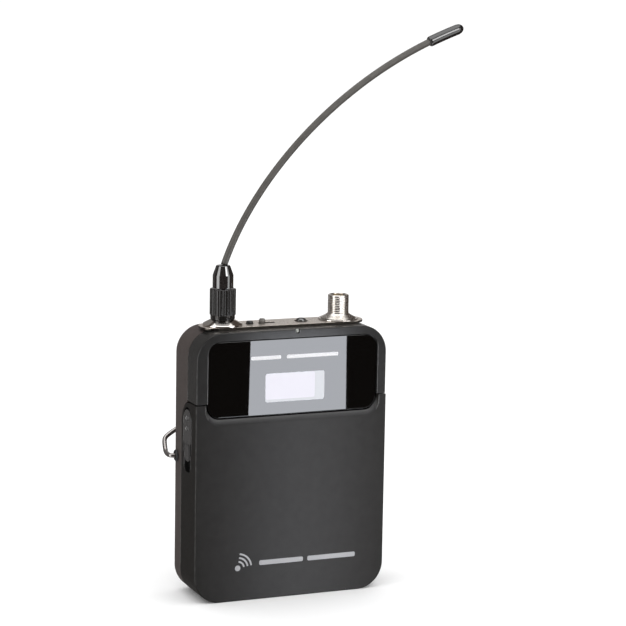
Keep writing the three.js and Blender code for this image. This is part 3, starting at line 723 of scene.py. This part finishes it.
def front_housing():
    """Frame around the window, which sits on a thin seat behind the opening."""
    housing = case_block("front", CASE_W, 0, CASE_H, CORNER_R, FRONT_Y, PART_Y - GAP, HOUSING_ROLL, 0)
    seat_y = window_high.y + 0.05
    top = COVER_TOP_Z + TOP_LINE
    x0, x1, z0, z1 = OPENING
    boolean(housing, [cavity(FRONT_Y + 2.8, 0), block(-40, 40, -14, 14, -2, top)])
    boolean(housing, [slab("tool", x0 + 0.6, x1 - 0.6, z0, top + 8, 4, seat_y, seat_y + 1.1)], "UNION")
    window = slab("tool", x0, x1, z0, z1, 4.4, -14, seat_y, 14)
    left, right = display_low.x - 0.3, display_high.x + 0.3
    display = slab("tool", left, right, display_low.z - 0.3, display_high.z + 0.3, 0.8, -12, 0)
    stem = rod("y", 0.6, INDICATOR_Y, -6.5, INDICATOR_X, INDICATOR_Z - 0.4)
    seat = ball("tool", 1.0, INDICATOR_X, INDICATOR_Y, INDICATOR_Z)
    boolean(housing, [window, display, seat, stem] + top_holes())
    tidy(housing)
    soften(housing, 0.12)
    piece(housing, "front_housing_fine", HOUSING, "case", ["front_housing"])


def side_span(side, inside, outside):
    """x range at the left (-1) or right (1) skin of the cover, from a depth inside it to one outside."""
    deep = side * (COVER_W / 2 - inside)
    out = side * (COVER_W / 2 + outside)
    return min(deep, out), max(deep, out)


def latch_slot(x0, x1):
    """Slot in the cover's side through which the latch reaches its hook."""
    return block(x0, x1, LATCH_Y - 1.2, LATCH_Y + 1.2, 50.0, 59.4)


def latch_outline(grow, drop):
    """Latch seen from the side, as (y, z) points: a wide pad over a tongue with a rounded end."""
    wide = LATCH_PAD + grow
    narrow = LATCH_TONGUE + grow
    step = LATCH_STEP_Z - drop - grow
    end = LATCH_END_Z - drop - grow
    r = 2.0
    points = arc(LATCH_Y + narrow - r, end + r, r, -math.pi / 2, 0, 8)
    points += [(LATCH_Y + narrow, step), (LATCH_Y + wide, step + 0.6)]
    points += arc(LATCH_Y, LATCH_TOP_Z + grow, wide, 0, math.pi, 24)
    points += [(LATCH_Y - wide, step + 0.6), (LATCH_Y - narrow, step)]
    return points + arc(LATCH_Y - narrow + r, end + r, r, math.pi, 1.5 * math.pi, 8)


def latch_details():
    """Painted shade: a near-black lining in each latch's pocket, where shadow falls, and two polished studs
    on its pad.
    """
    for name, side in (("left", -1), ("right", 1)):
        shade_lining = along_x(latch_outline(0.38, LATCH_RUN), *side_span(side, POCKET_DEPTH - 0.02, -0.1))
        hollow = along_x(latch_outline(0.3, LATCH_RUN), *side_span(side, POCKET_DEPTH - 0.06, 0.9))
        boolean(shade_lining, [hollow, latch_slot(-40, 40)])
        soften(shade_lining, 0)
        piece(shade_lining, f"latch_pocket_shade_{name}", POCKET_SHADE, "battery_cover", ())
    for name, side in (("latch_left", -1), ("latch_right", 1)):
        for k, z in enumerate((57.7, 61.2)):
            stud = ball("stud", 0.8, side * (LATCH_SKIN_X - 0.45), LATCH_Y, z)
            soften(stud, 0)
            piece(stud, f"{name}_stud_{k + 1}", LACQUER, name, ())


def battery_cover():
    """Cover over the front, sides and bottom, with the leaning notch under the window."""
    cover = case_block("cover", COVER_W, 0, CASE_H, CORNER_R, COVER_FRONT_Y, 8, COVER_ROLL, 0)
    boolean(cover, [cavity(COVER_FRONT_Y + WALL, 14)])
    boolean(cover, [along_x(cover_side(0), -40, 40)], "INTERSECT")
    recess = COVER_FRONT_Y + 0.95

    def notch(grow, z, r, y):
        """One ring of the notch: it ends at height z with lower corners of radius r."""
        return at_depth(rounded(OPENING[0] - grow, OPENING[1] + grow, z, 80, r, 14), y)

    straight = loft("tool", [notch(0.25, 61.3, 4.7, recess - 0.02), notch(0.25, 61.3, 4.7, 0)])
    leaning = loft("tool", [notch(0.7, 58.75, 5.6, COVER_FRONT_Y - 0.1), notch(0.25, 61.3, 4.7, recess)])
    boolean(cover, [straight, leaning, block(-26, 26, 0.9, 5, -1, 3)])
    for x in (-9.5, 9.5):
        boolean(cover, knuckle(x, -0.5, HINGE_Y), "UNION")
    tools = [rod("x", PIN_HOLE_R, -35, 35, HINGE_Y, HINGE_Z)]
    for side in (1, -1):
        tools.append(along_x(latch_outline(0.4, LATCH_RUN), *side_span(side, POCKET_DEPTH, 1)))
        tools.append(latch_slot(*side_span(side, 4, 0)))
    boolean(cover, tools)
    tidy(cover)
    soften(cover, 0.16)
    piece(cover, "battery_cover_fine", COVER, "battery_cover", ["battery_cover"])


def window_and_display():
    """Gloss window with the pale display in it: a border and, above it, the lit area."""
    low, high = window_low, window_high
    panel = slab("window", low.x, high.x, low.z, high.z, 4.2, low.y, high.y, 14)
    soften(panel, 0.25, segments=3)
    piece(panel, "window_panel_fine", WINDOW, "case", ["window_panel"])
    x0, x1 = display_low.x + 0.9, display_high.x - 0.9
    z0, z1 = display_low.z + 0.9, display_high.z - 0.9
    border = slab("border", x0, x1, z0, z1, 0.8, low.y - 0.01, low.y + 0.2)
    soften(border, 0)
    piece(border, "display_border", DISPLAY_BORDER, "case", ())
    lit = slab("lit", x0 + 0.12, x1 - 3.4, z0 + 0.9, z1 - 0.12, 0.6, low.y - 0.02, low.y + 0.1)
    soften(lit, 0)
    piece(lit, "display_active_area", DISPLAY_LIT, "case", ())
    front = high.y + 0.1
    housing = slab("display_block", x0 - 0.8, x1 + 0.8, z0 - 0.8, z1 + 0.8, 0.6, front, display_high.y)
    soften(housing, 0.15)
    piece(housing, "display_block", BLACK, "case", ["display_module"])


def ball(name, r, x, y, z, steps=14):
    """Sphere about a point."""
    turns = [i * math.pi / steps for i in range(1, steps)]
    rows = [(0, z - r)] + [(r * math.sin(a), z - r * math.cos(a)) for a in turns] + [(0, z + r)]
    return lathe(name, rows, x, y, 28)


def indicator():
    """Round lens in the housing's top edge, on the light pipe that feeds it."""
    lens = ball("lens", 0.62, INDICATOR_X, INDICATOR_Y, INDICATOR_Z)
    soften(lens, 0)
    piece(lens, "indicator_lens_fine", LENS, "case", ["indicator_lens"])
    stem = rod("y", 0.5, INDICATOR_Y, lens_high.y, INDICATOR_X, INDICATOR_Z - 0.4, 24)
    soften(stem, 0.05)
    piece(stem, "indicator_light_pipe", LENS, "case", ())


# ------------------------------------------------------------------ antenna and jack
def whip_point(t):
    """Centre line of the whip: a cubic curve in the plane y = 0."""
    corners = [(-20.6, 110.0), (-11.1, 137.7), (19.0, 171.9), (63.9, 187.2)]
    weights = [(1 - t) ** 3, 3 * t * (1 - t) ** 2, 3 * t * t * (1 - t), t**3]
    x = sum(w * c[0] for w, c in zip(weights, corners))
    z = sum(w * c[1] for w, c in zip(weights, corners))
    return Vector((x, 0, z))


def tube(name, start, stop, radius, steps, sides=24):
    """Round bar along the whip's centre line; radius(s) runs from 0 at the start to 1 at the end."""
    rings = []
    for i in range(steps + 1):
        s = i / steps
        t = start + (stop - start) * s
        along = (whip_point(t + 0.002) - whip_point(t - 0.002)).normalized()
        across = Vector((-along.z, 0, along.x))
        centre = whip_point(t)
        ring = []
        for k in range(sides):
            a = 2 * math.pi * k / sides
            ring.append(centre + (across * math.cos(a) + Vector((0, 1, 0)) * math.sin(a)) * radius(s))
        rings.append(ring)
    return loft(name, rings)


def antenna_parts():
    """Collar, ribbed nut, coned sleeve, whip and tip cap, from the bottom up."""
    x = ANTENNA_X
    base = box_mm("antenna_collar")[0].z
    collar = [(2.5, base), (6.5, base), (6.5, base + 0.4), (6.4, base + 0.55), (6.2, base + 0.7)]
    collar += [(4.2, base + 1.75), (4.0, base + 1.87), (2.5, base + 1.9)]
    obj = lathe("collar", collar, x, 0)
    soften(obj, 0.08, 30)
    piece(obj, "antenna_collar_fine", CHROME, "case", ["antenna_collar"])

    low, high = box_mm("antenna_nut")
    z0, z1 = low.z, high.z

    def ribbed(r, z, angle):
        """Ribs on the widest part of the nut."""
        if r < NUT_R - 0.2:
            return r
        wave = 0.5 + 0.5 * math.cos(NUT_RIBS * angle)
        return r - RIB_DEPTH * (1 - min(1.0, 1.6 * wave))

    nut = [(2.7, z0), (3.8, z0), (3.98, z0 + 0.12), (4.03, z0 + 0.3), (4.03, z0 + 1.4), (4.25, z0 + 1.5)]
    nut += [(NUT_R, z0 + 1.65), (NUT_R, z1 - 0.3), (4.2, z1 - 0.15), (3.9, z1 - 0.05), (3.6, z1)]
    nut += [(2.1, z1), (2.1, z1 - 4.5), (2.7, z1 - 4.5)]
    obj = lathe("nut", nut, x, 0, 288, ribbed)
    soften(obj, 0, 30)
    piece(obj, "antenna_nut_fine", NUT, "antenna_nut", ["antenna_nut"])

    low, high = box_mm("antenna_sleeve")
    z = high.z
    sleeve = [(0, low.z), (1.8, low.z), (1.8, z - 7.4), (3.4, z - 7.4)]
    sleeve += [(SLEEVE_R, z - 7.2), (SLEEVE_R, z - 3.4)]
    sleeve += [(3.38, z - 3.1), (2.34, z - 0.25), (2.2, z - 0.05), (2.0, z), (0, z)]
    obj = lathe("sleeve", sleeve, x, 0)
    soften(obj, 0.06, 30)
    piece(obj, "antenna_sleeve_fine", LACQUER, "case", ["antenna_sleeve"])

    whip = tube("whip", 0.006, TIP_START + 0.01, lambda s: WHIP_R, 96)
    soften(whip, 0)
    piece(whip, "antenna_whip_fine", WHIP, "case", ["antenna_whip"])

    def cap(s):
        """Radius of the tip: rounded in at its foot, straight, then rounded over."""
        if s < 0.06:
            return TIP_R - 0.4 + 0.4 * math.sqrt(1 - (1 - s / 0.06) ** 2)
        if s < 0.82:
            return TIP_R
        return TIP_R * math.sqrt(max(1 - ((s - 0.82) / 0.18) ** 2, 0.01))

    tip = tube("tip", TIP_START, 1.0, cap, 100)
    soften(tip, 0)
    piece(tip, "antenna_tip_fine", TIP, "case", ["antenna_tip"])


def jack_parts():
    """Flange and threaded barrel of the microphone jack, with its insert and pins."""
    x = JACK_X
    low, high = box_mm("jack_flange")
    flange = [(3.7, low.z), (6.6, low.z), (6.6, low.z + 0.22), (6.54, low.z + 0.34)]
    flange += [(6.4, high.z), (3.7, high.z)]
    obj = lathe("flange", flange, x, 0)
    soften(obj, 0.08, 30)
    piece(obj, "jack_flange_fine", CHROME, "case", ["jack_flange"])

    top = barrel_high.z
    foot = high.z + 0.1
    start = foot + 1.6

    def helix(r, z, angle):
        """Thread: a narrow groove that winds down the barrel, one turn to a pitch."""
        if r != THREAD_R or not start + 0.1 < z < top - 0.5:
            return r
        phase = ((z - start) / THREAD_PITCH - angle / (2 * math.pi)) % 1.0
        return THREAD_R - THREAD_DEPTH * max(0.0, abs(2 * phase - 1) - 0.55) / 0.45

    profile = [(2.55, barrel_low.z), (THREAD_R, barrel_low.z), (THREAD_R, foot), (5.9, foot)]
    profile += [(5.8, foot + 0.15), (4.6, foot + 0.75), (3.9, foot + 1.2), (3.56, foot + 1.5), (3.46, start)]
    rows = 96
    profile += [(THREAD_R, start + (top - 0.4 - start) * i / rows) for i in range(rows + 1)]
    profile += [(3.4, top - 0.15), (3.2, top), (2.75, top), (2.55, top - 0.2)]
    obj = lathe("barrel", profile, x, 0, 96, helix)
    soften(obj, 0, 30)
    piece(obj, "jack_barrel_fine", NICKEL, "case", ["jack_barrel"])
    refined("jack_insert", BLACK, 0.1)
    for k in range(1, 5):
        refined(f"jack_pin_{k}", GOLD, 0.06)


# ------------------------------------------------------------------ battery compartment
def cells():
    """The two AA cells, one of them upside down."""
    for k, upright in ((1, True), (2, False)):
        low, high = box_mm(f"cell_{k}")
        x, y, _ = centre_mm(f"cell_{k}")
        r = (high.x - low.x) / 2
        length = high.z - low.z
        profile = [(0, 0), (r - 1.2, 0), (r - 0.9, 0.25), (r - 0.35, 0.3), (r, 0.7), (r, length - 1.9)]
        profile += [(r - 0.25, length - 1.35), (r - 0.9, length - 1.15), (3.4, length - 1.2)]
        profile += [(2.9, length - 1.1), (2.75, length - 0.25), (2.5, length), (0, length)]
        if upright:
            rows = [(q, low.z + h) for q, h in profile]
        else:
            rows = [(q, high.z - h) for q, h in reversed(profile)]
        obj = lathe("cell", rows, x, y)
        soften(obj, 0.08, 30)
        piece(obj, f"cell_{k}_fine", CELL, "case", [f"cell_{k}"])


def buttons():
    """Set, up and down, in the panel beside the cells."""
    for node in ("set_button", "up_button", "down_button"):
        refined(node, GREY, 0.2, 30)


# ------------------------------------------------------------------ generic print
def print_mark():
    """A radio-wave sign and plain bars, standing 0.03 mm off the cover and the window."""

    def stamp(name, points, y, body, ink):
        """One printed shape on a face at depth y."""
        obj = loft("print", [at_depth(points, y - 0.03), at_depth(points, y + 0.02)])
        piece(obj, name, ink, body, ())

    cx, cz = -18.6, 11.2
    shapes = [arc(cx, cz, 0.95, 0, 2 * math.pi * 23 / 24, 23)]
    for r in (2.2, 3.5, 4.8):
        inner = arc(cx, cz, r - 0.28, math.radians(8), math.radians(82), 20)
        outer = arc(cx, cz, r + 0.28, math.radians(82), math.radians(8), 20)
        shapes.append(inner + outer)
    for x0, x1 in ((-11.0, 4.6), (6.2, 23.4)):
        shapes.append(rounded(x0, x1, 11.6, 13.2, 0.5, 6))
    for k, points in enumerate(shapes):
        stamp(f"printed_mark_{k + 1}", points, COVER_FRONT_Y, "battery_cover", INK)
    for k, (x0, x1) in enumerate(((-14.4, -3.9), (-1.9, 16.4))):
        line = rounded(x0, x1, 80.3, 81.5, 0.4, 6)
        stamp(f"printed_line_{k + 1}", line, window_low.y, "case", WINDOW_INK)


# ------------------------------------------------------------------ build everything
rear_shell()
front_housing()
battery_cover()
latch_details()
window_and_display()
indicator()
antenna_parts()
jack_parts()
cells()
buttons()
print_mark()

refined("top_plate", PLATE, 0.08)
refined("function_button", LACQUER, 0.15, 30)
refined("power_button", BLACK, 0.25, 30)
refined("slide_switch", KNOB, 0.2, 30)
refined("antenna_socket", CHROME, 0.1, 30)
refined("hinge_pin", STEEL, 0.1)
refined("latch_left", LATCH, 0.12)
refined("latch_right", LATCH, 0.12)
refined("battery_tray", TRAY, 0.2)
refined("contact_plate_1", CONTACT, 0.1)
refined("contact_plate_2", CONTACT, 0.1)
refined("main_board", BOARD, 0.1)
refined("control_board", BOARD, 0.1)
refined("rf_shield", CONTACT, 0.2)
refined("clip_boss_left", BLACK, 0.15, 30)
refined("clip_boss_right", BLACK, 0.15, 30)
for number in range(1, 5):
    refined(f"case_screw_{number}", STEEL, 0.08, 30)
rounded_bar("contact_spring_1", CONTACT, 0.03)
rounded_bar("contact_spring_2", CONTACT, 0.03)
rounded_bar("belt_clip_wire", WIRE, 0.13)


# ------------------------------------------------------------------ camera
# It looks at the display side from a little to its left and above.
AZIMUTH = math.radians(22.96)
ELEVATION = math.radians(9.60)
ROLL = math.radians(-1.01)
level = math.cos(ELEVATION)
back = Vector((-math.sin(AZIMUTH) * level, -math.cos(AZIMUTH) * level, math.sin(ELEVATION)))
right = Vector((math.cos(AZIMUTH), -math.sin(AZIMUTH), 0))
up = back.cross(right)
camera_data = bpy.data.cameras.new("camera")
camera_data.lens = 138.3
camera_data.sensor_width = 36
camera_data.clip_start = 0.02
camera_data.clip_end = 100
camera = bpy.data.objects.new("camera", camera_data)
bpy.context.scene.collection.objects.link(camera)
camera_place = Vector((0, 0, 0.046)) + right * 0.01045 + up * 0.04715 + back * 0.8018
side = right * math.cos(ROLL) - up * math.sin(ROLL)
top = right * math.sin(ROLL) + up * math.cos(ROLL)
turn = camera.matrix_world.copy()
for row in range(3):
    turn[row][0] = side[row]
    turn[row][1] = top[row]
    turn[row][2] = back[row]
    turn[row][3] = camera_place[row]
camera.matrix_world = turn
bpy.context.scene.camera = camera


# ------------------------------------------------------------------ floor, light and reflections
def stage_object(name, corners, faces):
    """Part of the studio, in metres, that does not belong to the transmitter."""
    mesh = bpy.data.meshes.new(name)
    mesh.from_pydata(corners, [], faces)
    obj = bpy.data.objects.new(name, mesh)
    bpy.context.scene.collection.objects.link(obj)
    return obj


def floor():
    """Plain pale floor under the bottom face."""
    size = 20
    corners = [(-size, -size, 0), (size, -size, 0), (size, size, 0), (-size, size, 0)]
    obj = stage_object("floor", corners, [(0, 1, 2, 3)])
    paint = Paint("floor_pale", (0.88, 0.88, 0.88), 0.9)
    paint.vary_roughness(60, 0.05)
    obj.data.materials.append(paint.material)
    obj.visible_glossy = False


def unseen(obj):
    """Shows in glossy reflections only."""
    obj.visible_camera = False
    obj.visible_diffuse = False
    obj.visible_transmission = False
    obj.visible_shadow = False
    obj.visible_volume_scatter = False


def emission(name, color, strength):
    """Material that only glows."""
    material = bpy.data.materials.new(name)
    material.use_nodes = True
    tree = material.node_tree
    tree.nodes.clear()
    glow = tree.nodes.new("ShaderNodeEmission")
    glow.inputs["Color"].default_value = (*color, 1)
    glow.inputs["Strength"].default_value = strength
    out = tree.nodes.new("ShaderNodeOutputMaterial")
    tree.links.new(glow.outputs["Emission"], out.inputs["Surface"])
    return material


def reflected_card():
    """Bright card that the window mirrors as one upright band."""
    plane_y = window_low.y * MM
    mirrored = Vector((camera_place.x, 2 * plane_y - camera_place.y, camera_place.z))
    corners = []
    for x, z in ((-0.0168, -0.03), (0.0202, -0.03), (0.0193, 0.0885), (-0.0146, 0.0885)):
        on_window = Vector((x, plane_y, z))
        ray = on_window - mirrored
        corners.append(on_window + ray * (0.09 / ray.length))
    obj = stage_object("window_card", corners, [(0, 1, 2, 3)])
    obj.data.materials.append(emission("card_glow", (0.94, 0.97, 1.04), 10.2))
    unseen(obj)


def screen(name, radius, sides, heights, color, strength):
    """Part of a sphere around the object that only reflections see.

    `sides` runs in degrees from -Y towards +X, `heights` in degrees above the horizontal.
    """
    steps = 40
    corners = []
    for i in range(steps + 1):
        turn_angle = math.radians(sides[0] + (sides[1] - sides[0]) * i / steps)
        for k in range(steps + 1):
            tilt = math.radians(heights[0] + (heights[1] - heights[0]) * k / steps)
            out = Vector((math.sin(turn_angle), -math.cos(turn_angle), 0)) * math.cos(tilt)
            corners.append((out + Vector((0, 0, math.sin(tilt)))) * radius)
    row = steps + 1
    faces = []
    for i in range(steps):
        for k in range(steps):
            a = i * row + k
            faces.append((a, a + row, a + row + 1, a + 1))
    obj = stage_object(name, corners, faces)
    obj.location = (0, 0, 0.07)
    obj.data.materials.append(emission(name + "_glow", color, strength))
    unseen(obj)


def softbox(name, place, target, width, height, radiance):
    """Rectangular area light aimed at a point; radiance is its brightness per area."""
    light = bpy.data.lights.new(name, "AREA")
    light.shape = "RECTANGLE"
    light.size = width
    light.size_y = height
    light.energy = radiance * math.pi * width * height
    obj = bpy.data.objects.new(name, light)
    bpy.context.scene.collection.objects.link(obj)
    obj.location = place
    obj.rotation_euler = (Vector(target) - Vector(place)).to_track_quat("-Z", "Y").to_euler()
    obj.visible_camera = False


def surroundings():
    """White studio: a dome that is brightest overhead."""
    world = bpy.data.worlds.new("studio")
    bpy.context.scene.world = world
    world.use_nodes = True
    tree = world.node_tree
    tree.nodes.clear()
    place = tree.nodes.new("ShaderNodeTexCoord")
    height = tree.nodes.new("ShaderNodeSeparateXYZ")
    rise = tree.nodes.new("ShaderNodeMapRange")
    rise.inputs["From Min"].default_value = 0.0
    rise.inputs["From Max"].default_value = 1.0
    rise.inputs["To Min"].default_value = 1.27
    rise.inputs["To Max"].default_value = 1.6
    dome_light = tree.nodes.new("ShaderNodeBackground")
    out = tree.nodes.new("ShaderNodeOutputWorld")
    tree.links.new(place.outputs["Generated"], height.inputs["Vector"])
    tree.links.new(height.outputs["Z"], rise.inputs["Value"])
    tree.links.new(rise.outputs["Result"], dome_light.inputs["Strength"])
    tree.links.new(dome_light.outputs["Background"], out.inputs["Surface"])


floor()
reflected_card()
# Reflections: dark surroundings, a paler stretch behind, two upright strips and a card above.
screen("dark_surround", 0.55, (-193, 147), (-60, 55), (1.0, 0.82, 0.72), 0.07)
screen("right_strip", 0.52, (31, 54), (-50, 40), (1, 1, 1), 1.8)
screen("left_strip", 0.52, (-94, -63), (-50, 40), (1, 1, 1), 2.6)
screen("rear_light", 0.55, (147, 167), (-60, 55), (1, 0.97, 0.95), 0.55)
screen("rear_left_glow", 0.5, (-193, -125), (-50, 45), (1.0, 0.96, 0.94), 0.2)
screen("upper_card", 0.5, (12, 34), (20, 44), (1, 1, 1), 7.0)
surroundings()
softbox("overhead", (-0.15, -0.25, 1.1), (0, 0, 0.05), 1.3, 1.3, 0.9)
bpy.context.scene.view_settings.view_transform = "Standard"
